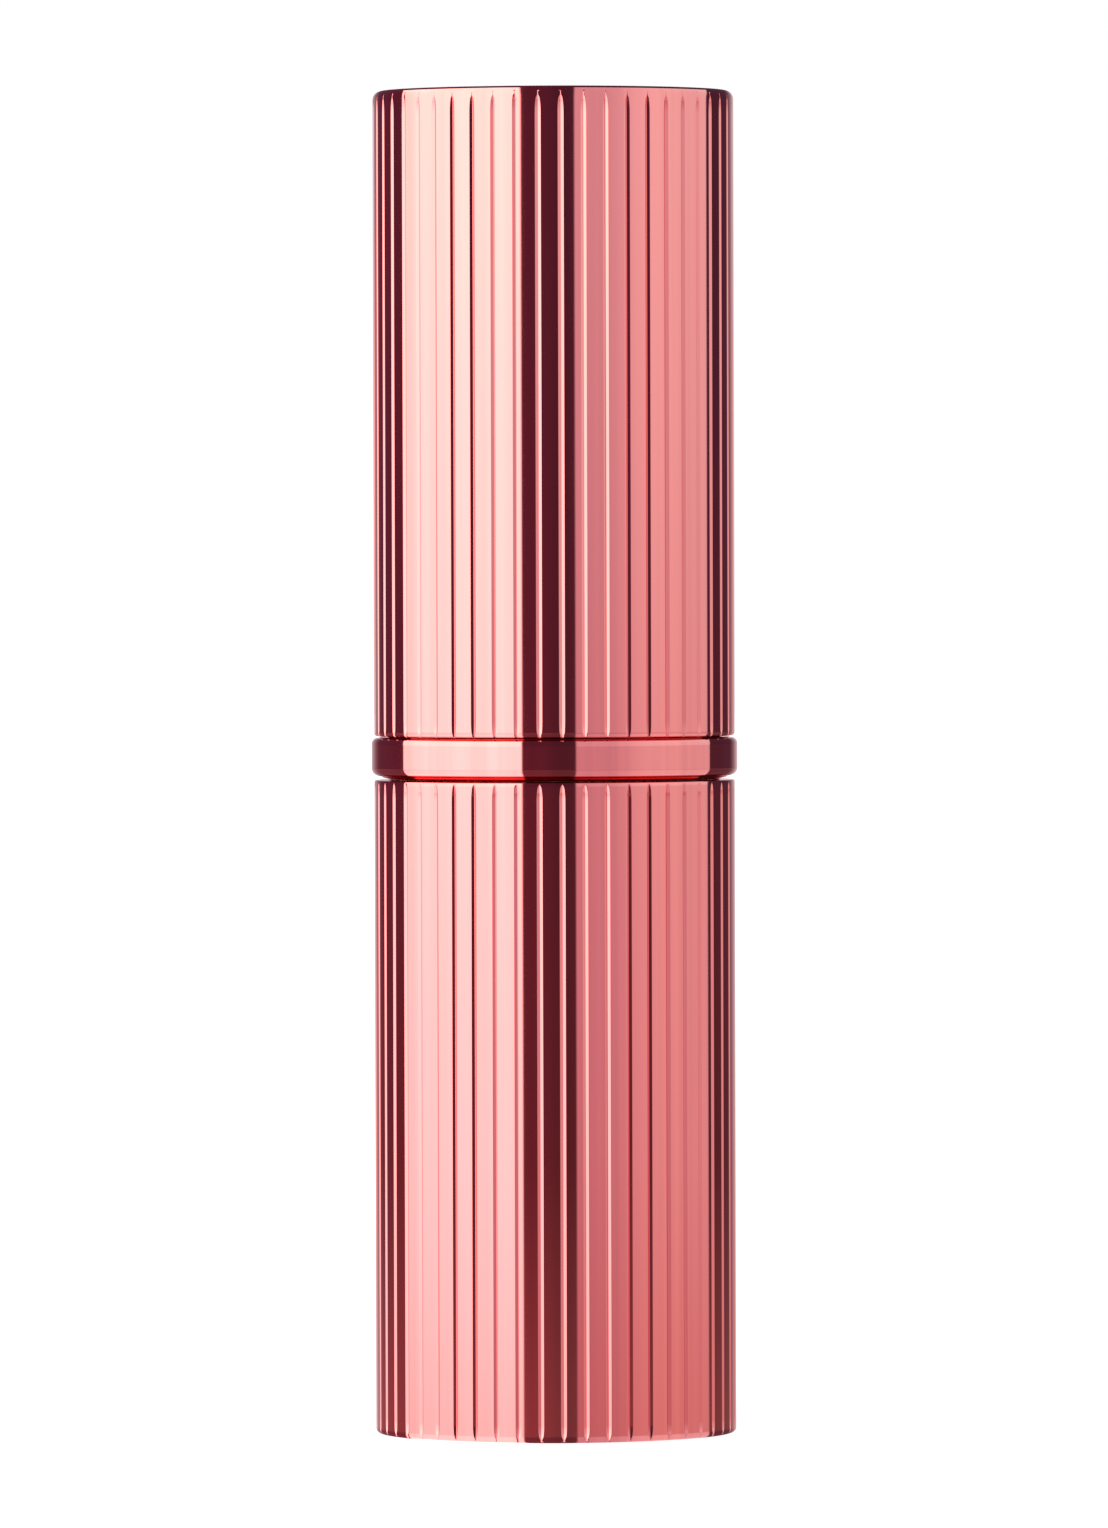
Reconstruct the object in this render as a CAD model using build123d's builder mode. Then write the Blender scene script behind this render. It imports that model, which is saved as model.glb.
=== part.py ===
from build123d import *

import os
from math import pi

# A twist-up lipstick case with a finely fluted cap and base, closed and standing on its base.
#
# Frame: the origin is the middle of the foot, +Z is up the case, and +X runs through the
# carrier's two lugs. Lengths are in millimetres and angles in degrees.

# ---- driving dimensions -------------------------------------------------------------------

CASE_R = 10.1  # outside of the fluted cap and base
BASE_HEIGHT = 36.5
SWIVEL_GAP = 0.45  # height of the recessed neck under the collar
COLLAR_HEIGHT = 2.0
CAP_GAP = 0.1
CAP_HEIGHT = 36.1

FLUTES = 50
FLUTE_WIDTH = 0.34
FLUTE_DEPTH = 0.09
FIRST_FLUTE = -1.5  # angle of the first flute from +X

BULLET_R = 6.05  # the usual 12.1 mm lipstick
BULLET_LENGTH = 32.0
TRAVEL = 20.0  # how far the lipstick rises
TURNS = 1.25  # turns of the base for that rise
TUBE_EXPOSED = 13.45  # how far the sleeve tube stands above the collar

# ---- walls, clearances and edges ----------------------------------------------------------

SHELL_WALL = 0.8
LINER_WALL = 0.5
TUBE_WALL = 0.35
CUP_WALL = 0.55
SLOTTED_WALL = 0.6
HELIX_WALL = 0.8

CUP_CLEARANCE = 0.15  # carrier cup in the slotted tube
HELIX_CLEARANCE = 0.1  # slotted tube in the helix tube
CAP_CLEARANCE = 0.04  # the cap's grip ribs on the sleeve tube
SEAT_CLEARANCE = 0.06  # pieces that are pressed or keyed together
NECK_CLEARANCE = 0.1

BASE_TOP_EDGE = 0.12
FOOT_EDGE = 0.25
CAP_TOP_EDGE = 0.5
CAP_MOUTH_EDGE = 0.2
COLLAR_EDGE = 0.4
RIM_EDGE = 0.3
LEAD_IN = 0.2

# ---- radii, from the lipstick outwards ----------------------------------------------------

CUP_R = BULLET_R + CUP_WALL
SLOTTED_BORE_R = CUP_R + CUP_CLEARANCE
SLOTTED_R = SLOTTED_BORE_R + SLOTTED_WALL
HELIX_BORE_R = SLOTTED_R + HELIX_CLEARANCE
HELIX_R = HELIX_BORE_R + HELIX_WALL
TUBE_R = HELIX_R + TUBE_WALL
RIM_R = SLOTTED_BORE_R + 0.15
SHELL_BORE_R = CASE_R - SHELL_WALL
INSERT_BORE_R = SHELL_BORE_R - LINER_WALL
LINER_BORE_R = SHELL_BORE_R - 0.9 * LINER_WALL
LINER_RIB_R = TUBE_R + CAP_CLEARANCE
COLLAR_R = CASE_R + 0.15
NECK_R = CASE_R - 0.35

# ---- heights, from the foot upwards -------------------------------------------------------

COLLAR_BOTTOM = BASE_HEIGHT + SWIVEL_GAP
COLLAR_TOP = COLLAR_BOTTOM + COLLAR_HEIGHT
CAP_BOTTOM = COLLAR_TOP + CAP_GAP
CAP_TOP = CAP_BOTTOM + CAP_HEIGHT
TUBE_TOP = COLLAR_TOP + TUBE_EXPOSED

LABEL_R = 8.2
LABEL_THICKNESS = 0.15
LABEL_RECESS = 0.3
LABEL_MARGIN = 0.15
SHELL_FLOOR = LABEL_RECESS + 1.0
BASE_WEIGHT_HEIGHT = 5.0
BASE_WEIGHT_TOP = SHELL_FLOOR + BASE_WEIGHT_HEIGHT
BASE_WEIGHT_R = SHELL_BORE_R - 0.4

BULLET_TOP = TUBE_TOP - 1.0
BULLET_BOTTOM = BULLET_TOP - BULLET_LENGTH
CUP_FLOOR = 0.8
CUP_BOTTOM = BULLET_BOTTOM - CUP_FLOOR
CUP_HEIGHT = 11.8
CUP_VENT_R = 1.5

FOOT_BOTTOM = CUP_BOTTOM - 2.0  # underside of the slotted tube's foot
FOOT_FLOOR = 1.0
FOOT_TOP = FOOT_BOTTOM + 1.8
INSERT_FLOOR = 1.2  # thickness under that foot
INSERT_SKIRT_WALL = 1.1
INSERT_WEB = 1.2

CAP_ROOF = 1.0
CAP_WEIGHT_HEIGHT = 1.5
CAP_WEIGHT_BOTTOM = CAP_TOP - CAP_ROOF - CAP_WEIGHT_HEIGHT
CAP_WEIGHT_R = SHELL_BORE_R - 0.3
LINER_ROOF = 0.6
LINER_BOTTOM = CAP_BOTTOM + 0.3
RIBS_BOTTOM = LINER_BOTTOM + 0.8

# ---- the swivel's lugs, slots, ring and catch ---------------------------------------------

LUG_R = 0.9
LUG_Z = BULLET_BOTTOM + 1.2
LUG_REACH = HELIX_R - 0.15
LUG_SLACK = 0.25  # spare length at each end of a slot
SLOT_WIDTH = 2.1
HELIX_SLOT_WIDTH = 2.15
HELIX_PITCH = TRAVEL / TURNS

RING_SECTION_R = 0.38
RING_CLEARANCE = 0.02
HELIX_BOTTOM = FOOT_TOP + 2 * RING_SECTION_R + HELIX_CLEARANCE
HELIX_TOP = TUBE_TOP - TUBE_WALL - RING_CLEARANCE
SLOTTED_TOP = HELIX_TOP - 0.2
TUBE_BOTTOM = FOOT_TOP + 0.3

CATCH_BOTTOM = SLOTTED_TOP - 1.6
CATCH_HEIGHT = 0.7
CATCH_STANDS = 0.18
CATCH_GROOVE_R = SLOTTED_R + CATCH_STANDS + 0.08

KEYS = 12
KEY_WIDTH = 1.0
KEY_STANDS = 0.25
KEY_OVERLAP = 0.2
KEY_HEIGHT = 1.6
RIBS = 6
RIB_WIDTH = 0.8

# ---- flutes -------------------------------------------------------------------------------

CUTTER_OVERSHOOT = 0.2  # how far a flute's cutter stands out of the shell
JUST_CLEAR = -0.02  # depths at which a flute's cutter has left the shell
WELL_CLEAR = -0.04
RUN_OUT = 1.0  # length over which a flute reaches its full depth


def flute_corners(depth):
    """The V of one flute's cutter. At a negative depth its point is clear of the shell."""
    half_mouth = FLUTE_WIDTH / 2 * (depth + CUTTER_OVERSHOOT) / FLUTE_DEPTH
    mouth_r = CASE_R + CUTTER_OVERSHOOT
    return [(CASE_R - depth, 0), (mouth_r, -half_mouth), (mouth_r, half_mouth)]


def flute_cutter(stations):
    """One flute's cutter, lofted through stations of height and depth."""
    with BuildPart() as cutter:
        for height, depth in stations:
            with BuildSketch(Plane.XY.offset(height)):
                Polygon(*flute_corners(depth), align=None)
        loft(ruled=True)
    return cutter.part


# ---- base ---------------------------------------------------------------------------------


def make_base_shell():
    """The fluted outer shell of the base, closed below, with a recess for the label."""
    cutter = flute_cutter(
        [
            (0.1, WELL_CLEAR),
            (0.1 + RUN_OUT, FLUTE_DEPTH),
            (BASE_HEIGHT - RUN_OUT, FLUTE_DEPTH),
            (BASE_HEIGHT, JUST_CLEAR),
        ]
    )
    with BuildPart() as base_shell:
        with BuildSketch():
            Circle(CASE_R)
        extrude(amount=BASE_HEIGHT)
        fillet(base_shell.edges().filter_by(GeomType.CIRCLE).sort_by(Axis.Z).first, FOOT_EDGE)
        fillet(base_shell.edges().filter_by(GeomType.CIRCLE).sort_by(Axis.Z).last, BASE_TOP_EDGE)
        with BuildSketch(Plane.XY.offset(SHELL_FLOOR)):
            Circle(SHELL_BORE_R)
        extrude(amount=BASE_HEIGHT, mode=Mode.SUBTRACT)
        with BuildSketch():
            Circle(LABEL_R + LABEL_MARGIN)
        extrude(amount=LABEL_RECESS, mode=Mode.SUBTRACT)
        with PolarLocations(0, FLUTES, start_angle=FIRST_FLUTE):
            add(cutter, mode=Mode.SUBTRACT)
    base_shell.part.label = "base_shell"
    export_step(base_shell.part, "parts/base_shell.step")


def make_base_label():
    """The blank paper disc stuck in the recess under the base."""
    with BuildPart() as base_label:
        with BuildSketch(Plane.XY.offset(LABEL_RECESS - LABEL_THICKNESS)):
            Circle(LABEL_R)
        extrude(amount=LABEL_THICKNESS)
    base_label.part.label = "base_label"
    export_step(base_label.part, "parts/base_label.step")


def make_base_weight():
    """The steel slug that gives the base its heft."""
    with BuildPart() as base_weight:
        with BuildSketch(Plane.XY.offset(SHELL_FLOOR)):
            Circle(BASE_WEIGHT_R)
        extrude(amount=BASE_WEIGHT_HEIGHT)
        chamfer(base_weight.edges().filter_by(GeomType.CIRCLE), 2 * LEAD_IN)
    base_weight.part.label = "base_weight"
    export_step(base_weight.part, "parts/base_weight.step")


def make_base_insert():
    """The moulded sleeve in the base: it stands on the weight and seats the swivel."""
    skirt_bore_r = SHELL_BORE_R - INSERT_SKIRT_WALL
    with BuildPart() as base_insert:
        with BuildSketch(Plane.XY.offset(BASE_WEIGHT_TOP)):
            Circle(SHELL_BORE_R)
        extrude(amount=BASE_HEIGHT - BASE_WEIGHT_TOP)
        with BuildSketch(Plane.XY.offset(BASE_WEIGHT_TOP)):
            Circle(skirt_bore_r)
            Rectangle(2 * skirt_bore_r, INSERT_WEB, mode=Mode.SUBTRACT)
            Rectangle(INSERT_WEB, 2 * skirt_bore_r, mode=Mode.SUBTRACT)
        extrude(amount=FOOT_BOTTOM - INSERT_FLOOR - BASE_WEIGHT_TOP, mode=Mode.SUBTRACT)
        with BuildSketch(Plane.XY.offset(FOOT_BOTTOM)):
            Circle(INSERT_BORE_R)
        extrude(amount=BASE_HEIGHT, mode=Mode.SUBTRACT)
        with BuildSketch(Plane.XY.offset(FOOT_BOTTOM)):
            with PolarLocations(INSERT_BORE_R - KEY_STANDS, KEYS):
                Rectangle(KEY_STANDS + KEY_OVERLAP, KEY_WIDTH, align=(Align.MIN, Align.CENTER))
        extrude(amount=KEY_HEIGHT)
        mouth = base_insert.edges().filter_by(GeomType.CIRCLE).group_by(Axis.Z)[-1]
        chamfer(mouth.sort_by(SortBy.RADIUS).first, LEAD_IN)
    base_insert.part.label = "base_insert"
    export_step(base_insert.part, "parts/base_insert.step")


# ---- swivel -------------------------------------------------------------------------------


def make_slotted_tube():
    """The guide tube keyed into the base. Its two upright slots keep the carrier from turning."""
    with BuildPart() as slotted_tube:
        with BuildSketch(Plane.XY.offset(FOOT_BOTTOM)):
            Circle(INSERT_BORE_R - SEAT_CLEARANCE)
            with PolarLocations(INSERT_BORE_R - KEY_STANDS - SEAT_CLEARANCE, KEYS):
                notch_depth = KEY_STANDS + KEY_OVERLAP
                notch_width = KEY_WIDTH + 2 * SEAT_CLEARANCE
                Rectangle(notch_depth, notch_width, align=(Align.MIN, Align.CENTER), mode=Mode.SUBTRACT)
        extrude(amount=FOOT_TOP - FOOT_BOTTOM)
        with BuildSketch(Plane.XY.offset(FOOT_TOP)):
            Circle(SLOTTED_R)
        extrude(amount=SLOTTED_TOP - FOOT_TOP)
        with BuildSketch(Plane.XZ):
            with BuildLine():
                Polyline(
                    (SLOTTED_BORE_R, CATCH_BOTTOM),
                    (SLOTTED_R, CATCH_BOTTOM),
                    (SLOTTED_R + CATCH_STANDS, CATCH_BOTTOM + CATCH_STANDS),
                    (SLOTTED_R + CATCH_STANDS, CATCH_BOTTOM + CATCH_HEIGHT - CATCH_STANDS),
                    (SLOTTED_R, CATCH_BOTTOM + CATCH_HEIGHT),
                    (SLOTTED_BORE_R, CATCH_BOTTOM + CATCH_HEIGHT),
                    close=True,
                )
            make_face()
        revolve(axis=Axis.Z)
        with BuildSketch(Plane.XY.offset(FOOT_BOTTOM + FOOT_FLOOR)):
            Circle(SLOTTED_BORE_R)
        extrude(amount=SLOTTED_TOP, mode=Mode.SUBTRACT)
        with BuildSketch(Plane.XY.offset(LUG_Z - LUG_R - LUG_SLACK)):
            Rectangle(3 * SLOTTED_R, SLOT_WIDTH)
        extrude(amount=TRAVEL + 2 * (LUG_R + LUG_SLACK), mode=Mode.SUBTRACT)
    slotted_tube.part.label = "slotted_tube"
    export_step(slotted_tube.part, "parts/slotted_tube.step")


def make_friction_ring():
    """The rubber ring between the guide tube's foot and the helix tube. It gives the twist its drag."""
    with BuildPart() as friction_ring:
        with Locations((0, 0, FOOT_TOP + RING_SECTION_R)):
            Torus(SLOTTED_R + RING_CLEARANCE + RING_SECTION_R, RING_SECTION_R)
    friction_ring.part.label = "friction_ring"
    export_step(friction_ring.part, "parts/friction_ring.step")


def helix_slot_cutter():
    """A cutter for the helical slot that starts at +X."""
    mid_r = (HELIX_BORE_R + HELIX_R) / 2
    lead_angle = 360 * (LUG_R + LUG_SLACK) / (2 * pi * mid_r)
    lead_height = HELIX_PITCH * lead_angle / 360
    with BuildPart() as cutter:
        with BuildLine():
            path = Helix(HELIX_PITCH, TRAVEL + 2 * lead_height, mid_r)
        with BuildSketch(Plane(origin=path @ 0, x_dir=(1, 0, 0), z_dir=path % 0)):
            Rectangle(2 * HELIX_WALL, HELIX_SLOT_WIDTH)
        sweep(path=path, is_frenet=True)
    return Location((0, 0, LUG_Z - lead_height), (0, 0, -lead_angle)) * cutter.part


def make_helix_tube():
    """The tube whose two helical slots lift the carrier's lugs as it turns."""
    cutter = helix_slot_cutter()
    with BuildPart() as helix_tube:
        with BuildSketch(Plane.XY.offset(HELIX_BOTTOM)):
            Circle(HELIX_R)
            Circle(HELIX_BORE_R, mode=Mode.SUBTRACT)
        extrude(amount=HELIX_TOP - HELIX_BOTTOM)
        with BuildSketch(Plane.XY.offset(CATCH_BOTTOM - HELIX_CLEARANCE)):
            Circle(CATCH_GROOVE_R)
        extrude(amount=CATCH_HEIGHT + 2 * HELIX_CLEARANCE, mode=Mode.SUBTRACT)
        with PolarLocations(0, 2):
            add(cutter, mode=Mode.SUBTRACT)
    helix_tube.part.label = "helix_tube"
    export_step(helix_tube.part, "parts/helix_tube.step")


def make_sleeve_tube():
    """The polished metal tube round the helix tube, with its rim turned in over the plastic."""
    with BuildPart() as sleeve_tube:
        with BuildSketch(Plane.XY.offset(TUBE_BOTTOM)):
            Circle(TUBE_R)
        extrude(amount=TUBE_TOP - TUBE_BOTTOM)
        fillet(sleeve_tube.edges().filter_by(GeomType.CIRCLE).sort_by(Axis.Z).last, RIM_EDGE)
        with BuildSketch(Plane.XY.offset(TUBE_BOTTOM)):
            Circle(HELIX_R)
        extrude(amount=TUBE_TOP - TUBE_WALL - TUBE_BOTTOM, mode=Mode.SUBTRACT)
        with BuildSketch(Plane.XY.offset(TUBE_BOTTOM)):
            Circle(RIM_R)
        extrude(amount=TUBE_TOP, mode=Mode.SUBTRACT)
    sleeve_tube.part.label = "sleeve_tube"
    export_step(sleeve_tube.part, "parts/sleeve_tube.step")


def make_collar_ring():
    """The plain bright ring between cap and base, with a recessed neck under it."""
    with BuildPart() as collar_ring:
        with BuildSketch(Plane.XY.offset(COLLAR_BOTTOM)):
            Circle(COLLAR_R)
        extrude(amount=COLLAR_HEIGHT)
        fillet(collar_ring.edges().filter_by(GeomType.CIRCLE), COLLAR_EDGE)
        with BuildSketch(Plane.XY.offset(BASE_HEIGHT + NECK_CLEARANCE)):
            Circle(NECK_R)
        extrude(amount=SWIVEL_GAP)
        with BuildSketch(Plane.XY.offset(BASE_HEIGHT)):
            Circle(TUBE_R)
        extrude(amount=COLLAR_TOP, mode=Mode.SUBTRACT)
    collar_ring.part.label = "collar_ring"
    export_step(collar_ring.part, "parts/collar_ring.step")


# ---- lipstick and its carrier -------------------------------------------------------------

SLANT_DROP = 8.0
TIP_ROUND = 0.7


def make_carrier_cup():
    """The cup that holds the lipstick's root. A lug on each side rides in the slots."""
    with BuildPart() as carrier_cup:
        with BuildSketch(Plane.XY.offset(CUP_BOTTOM)):
            Circle(CUP_R)
        extrude(amount=CUP_HEIGHT)
        with BuildSketch(Plane.YZ.offset(-LUG_REACH)):
            with Locations((0, LUG_Z)):
                Circle(LUG_R)
        extrude(amount=2 * LUG_REACH)
        with BuildSketch(Plane.XY.offset(BULLET_BOTTOM)):
            Circle(BULLET_R)
        extrude(amount=CUP_HEIGHT, mode=Mode.SUBTRACT)
        with BuildSketch(Plane.XY.offset(CUP_BOTTOM)):
            Circle(CUP_VENT_R)
        extrude(amount=CUP_FLOOR, mode=Mode.SUBTRACT)
        lip = carrier_cup.edges().filter_by(GeomType.CIRCLE).group_by(Axis.Z)[-1]
        chamfer(lip.sort_by(SortBy.RADIUS).last, LEAD_IN)
    carrier_cup.part.label = "carrier_cup"
    export_step(carrier_cup.part, "parts/carrier_cup.step")


def make_lipstick_bullet():
    """The stick of lipstick, cut across its top at a slant that is high on the +X side."""
    middle = (0, 0, BULLET_TOP - SLANT_DROP / 2)
    slant = Plane(origin=middle, z_dir=(-SLANT_DROP, 0, 2 * BULLET_R))
    with BuildPart() as lipstick_bullet:
        with BuildSketch(Plane.XY.offset(BULLET_BOTTOM)):
            Circle(BULLET_R)
        extrude(amount=BULLET_LENGTH)
        split(bisect_by=slant, keep=Keep.BOTTOM)
        fillet(lipstick_bullet.edges().filter_by(GeomType.ELLIPSE), TIP_ROUND)
    lipstick_bullet.part.label = "lipstick_bullet"
    export_step(lipstick_bullet.part, "parts/lipstick_bullet.step")


# ---- cap ----------------------------------------------------------------------------------


def make_cap_shell():
    """The fluted outer shell of the cap, closed at the top."""
    cutter = flute_cutter(
        [
            (CAP_BOTTOM - 0.6 * RUN_OUT, WELL_CLEAR),
            (CAP_BOTTOM + RUN_OUT, FLUTE_DEPTH),
            (CAP_TOP - CAP_TOP_EDGE - RUN_OUT, FLUTE_DEPTH),
            (CAP_TOP - 0.6 * CAP_TOP_EDGE, JUST_CLEAR),
        ]
    )
    with BuildPart() as cap_shell:
        with BuildSketch(Plane.XY.offset(CAP_BOTTOM)):
            Circle(CASE_R)
        extrude(amount=CAP_HEIGHT)
        fillet(cap_shell.edges().filter_by(GeomType.CIRCLE).sort_by(Axis.Z).last, CAP_TOP_EDGE)
        fillet(cap_shell.edges().filter_by(GeomType.CIRCLE).sort_by(Axis.Z).first, CAP_MOUTH_EDGE)
        with BuildSketch(Plane.XY.offset(CAP_BOTTOM)):
            Circle(SHELL_BORE_R)
        extrude(amount=CAP_HEIGHT - CAP_ROOF, mode=Mode.SUBTRACT)
        with PolarLocations(0, FLUTES, start_angle=FIRST_FLUTE):
            add(cutter, mode=Mode.SUBTRACT)
    cap_shell.part.label = "cap_shell"
    export_step(cap_shell.part, "parts/cap_shell.step")


def make_cap_weight():
    """The steel disc under the cap's roof."""
    with BuildPart() as cap_weight:
        with BuildSketch(Plane.XY.offset(CAP_WEIGHT_BOTTOM)):
            Circle(CAP_WEIGHT_R)
        extrude(amount=CAP_WEIGHT_HEIGHT)
        chamfer(cap_weight.edges().filter_by(GeomType.CIRCLE), LEAD_IN)
    cap_weight.part.label = "cap_weight"
    export_step(cap_weight.part, "parts/cap_weight.step")


def make_cap_liner():
    """The moulded lining of the cap, with upright ribs that grip the sleeve tube."""
    rib_depth = LINER_BORE_R - LINER_RIB_R + KEY_OVERLAP
    with BuildPart() as cap_liner:
        with BuildSketch(Plane.XY.offset(LINER_BOTTOM)):
            Circle(SHELL_BORE_R)
        extrude(amount=CAP_WEIGHT_BOTTOM - LINER_BOTTOM)
        with BuildSketch(Plane.XY.offset(LINER_BOTTOM)):
            Circle(LINER_BORE_R)
        extrude(amount=CAP_WEIGHT_BOTTOM - LINER_ROOF - LINER_BOTTOM, mode=Mode.SUBTRACT)
        mouth = cap_liner.edges().filter_by(GeomType.CIRCLE).group_by(Axis.Z)[0]
        chamfer(mouth.sort_by(SortBy.RADIUS).first, LEAD_IN)
        with BuildSketch(Plane.XY.offset(RIBS_BOTTOM)):
            with PolarLocations(LINER_RIB_R, RIBS):
                Rectangle(rib_depth, RIB_WIDTH, align=(Align.MIN, Align.CENTER))
        extrude(amount=TUBE_EXPOSED)
    cap_liner.part.label = "cap_liner"
    export_step(cap_liner.part, "parts/cap_liner.step")


os.makedirs("parts", exist_ok=True)
make_base_shell()
make_base_label()
make_base_weight()
make_base_insert()
make_slotted_tube()
make_friction_ring()
make_helix_tube()
make_sleeve_tube()
make_collar_ring()
make_carrier_cup()
make_lipstick_bullet()
make_cap_shell()
make_cap_weight()
make_cap_liner()
print("overall height", round(CAP_TOP, 2), "mm")
print("a twist of", 360 * TURNS, "degrees lifts the carrier", TRAVEL, "mm")
print("lift per radian", round(TRAVEL / (2 * pi * TURNS), 6), "mm")
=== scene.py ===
"""A twist-up lipstick case, fluted and rose gold, modelled round its fixed CAD frame.

The two fluted shells, the collar ring, the sleeve tube and the lipstick are modelled here. The
pieces inside the case keep their CAD shapes and get their finishes. Shapes are worked on in
millimetres, and each finished piece is brought down to metres.
"""

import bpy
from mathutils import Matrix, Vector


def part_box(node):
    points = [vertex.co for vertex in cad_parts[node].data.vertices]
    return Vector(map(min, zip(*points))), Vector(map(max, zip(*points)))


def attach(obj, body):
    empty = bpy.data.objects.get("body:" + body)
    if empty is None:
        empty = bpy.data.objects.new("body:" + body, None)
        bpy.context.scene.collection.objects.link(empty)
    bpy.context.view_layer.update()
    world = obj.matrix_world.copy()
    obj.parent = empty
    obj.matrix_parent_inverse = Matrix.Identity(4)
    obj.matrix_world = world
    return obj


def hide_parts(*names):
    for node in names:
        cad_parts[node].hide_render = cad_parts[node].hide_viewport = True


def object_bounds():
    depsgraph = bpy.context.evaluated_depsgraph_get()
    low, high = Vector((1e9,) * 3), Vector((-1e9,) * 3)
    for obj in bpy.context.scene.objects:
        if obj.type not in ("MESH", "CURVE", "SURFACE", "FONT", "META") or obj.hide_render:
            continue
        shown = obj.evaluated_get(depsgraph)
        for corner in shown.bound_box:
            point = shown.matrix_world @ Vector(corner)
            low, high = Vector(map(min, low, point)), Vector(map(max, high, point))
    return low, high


bl_info = {
    "name": "Fluted Lipstick Case",
    "version": (1, 0, 0),
    "blender": (4, 5, 0),
    "location": "3D View > Sidebar > Lipstick",
    "description": "Models a fluted lipstick case and the studio it stands in",
    "category": "Add Mesh",
}

from math import cos, degrees, pi, radians, sin, sqrt

import bmesh
import bpy
from bpy.props import (
    FloatProperty,
    FloatVectorProperty,
    IntProperty,
    PointerProperty,
)
from mathutils import Vector

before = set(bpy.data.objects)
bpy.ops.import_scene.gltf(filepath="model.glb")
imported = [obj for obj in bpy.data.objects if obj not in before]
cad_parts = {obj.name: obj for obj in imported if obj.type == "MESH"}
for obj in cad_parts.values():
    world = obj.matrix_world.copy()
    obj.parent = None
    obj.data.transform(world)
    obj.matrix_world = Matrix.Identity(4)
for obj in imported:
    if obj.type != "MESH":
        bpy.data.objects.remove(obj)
CAD_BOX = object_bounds()
MM = 1000  # millimetres in a metre

# Lengths that the turned pieces share, in millimetres.
WELD = 6e-5  # sectors of a turned piece join where they come this close
HOLD = 0.06  # a narrow step beside a rounded edge, which holds its shading in
HALF_RUN = 6  # from the middle of a shell to the stations on each side of it

# Where points stand along a groove's wall, and on the land from its mouth to halfway to the next.
WALL_SHARES = (0.05, 0.95, 1.0)
LAND_SHARES = (0.06, 0.3, 0.65, 1.0)


# ---- sizes from the frame -----------------------------------------------------------------


def bottom_of(node):
    """Height of a CAD node's underside, in millimetres."""
    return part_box(node)[0].z * MM


def top_of(node):
    """Height of a CAD node's top, in millimetres."""
    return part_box(node)[1].z * MM


def radius_of(node):
    """Outside radius of a round CAD node, in millimetres."""
    low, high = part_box(node)
    return round(max(high.x - low.x, high.y - low.y) / 2 * MM, 2)


# ---- settings -----------------------------------------------------------------------------


class FluteSettings(bpy.types.PropertyGroup):
    """The grooves that run down the cap and the base."""

    count: IntProperty(name="Flutes", description="Grooves round the case", default=50, min=12)
    wall_slope: FloatProperty(
        name="Wall slope",
        description="Angle of a groove's straight walls to the shell's surface",
        default=radians(30),
        subtype="ANGLE",
    )
    wall_length: FloatProperty(
        name="Wall length",
        description="Length of a groove's straight wall, in millimetres",
        default=0.16,
    )
    shoulder_radius: FloatProperty(
        name="Shoulder radius",
        description="Rounding at a groove's mouth, in millimetres",
        default=0.04,
    )
    root_radius: FloatProperty(
        name="Root radius",
        description="Rounding at a groove's bottom, in millimetres",
        default=0.022,
    )
    turned: FloatProperty(
        name="Turned",
        description="Angle from the front of the case to the nearest groove",
        default=radians(-4.8),
        subtype="ANGLE",
    )


class CaseSettings(bpy.types.PropertyGroup):
    """Edges of the shells, and the shape of the lipstick's tip."""

    cap_top_edge: FloatProperty(
        name="Cap top edge",
        description="Radius of the cap's upper edge, in millimetres",
        default=0.5,
    )
    mouth_edge: FloatProperty(
        name="Cap mouth edge",
        description="Radius of the cap's lower edge, in millimetres",
        default=0.16,
    )
    base_top_edge: FloatProperty(
        name="Base top edge",
        description="Radius of the base's upper edge, in millimetres",
        default=0.1,
    )
    foot_edge: FloatProperty(
        name="Foot edge",
        description="Radius of the base's lower edge, in millimetres",
        default=0.25,
    )
    collar_edge: FloatProperty(
        name="Collar edge",
        description="Radius of the collar's upper edge, in millimetres",
        default=0.34,
    )
    slant_drop: FloatProperty(
        name="Slant drop",
        description="How far the lipstick's cut top falls, in millimetres",
        default=8.2,
    )


class FinishSettings(bpy.types.PropertyGroup):
    """Colours of the finishes."""

    metal: FloatVectorProperty(
        name="Rose gold",
        description="Colour of the mirror-finished metal",
        default=(0.86, 0.24, 0.245),
        subtype="COLOR",
        size=3,
    )
    tube: FloatVectorProperty(
        name="Inner tube",
        description="Colour of the polished tube under the cap",
        default=(0.88, 0.34, 0.31),
        subtype="COLOR",
        size=3,
    )
    lipstick: FloatVectorProperty(
        name="Lipstick",
        description="Colour of the lipstick",
        default=(0.42, 0.022, 0.045),
        subtype="COLOR",
        size=3,
    )


class StudioSettings(bpy.types.PropertyGroup):
    """Where the camera stands, and the size of the tent of reflections round the case."""

    distance: FloatProperty(
        name="Camera distance",
        description="From the case's axis to the camera",
        default=0.765,
        unit="LENGTH",
    )
    height: FloatProperty(
        name="Camera height", description="Above the foot", default=0.05054, unit="LENGTH"
    )
    tilt: FloatProperty(
        name="Tilt",
        description="How far the camera looks down",
        default=radians(0.98),
        subtype="ANGLE",
    )
    roll: FloatProperty(
        name="Roll",
        description="How far the camera leans over",
        default=radians(0.155),
        subtype="ANGLE",
    )
    lens: FloatProperty(name="Lens", description="Focal length in millimetres", default=321.6)
    tent_radius: FloatProperty(
        name="Tent radius",
        description="Distance of the reflected studio walls",
        default=2.0,
        unit="LENGTH",
    )


SETTINGS = {
    "lipstick_flutes": FluteSettings,
    "lipstick_case": CaseSettings,
    "lipstick_finish": FinishSettings,
    "lipstick_studio": StudioSettings,
}


# ---- shaping ------------------------------------------------------------------------------


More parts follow.
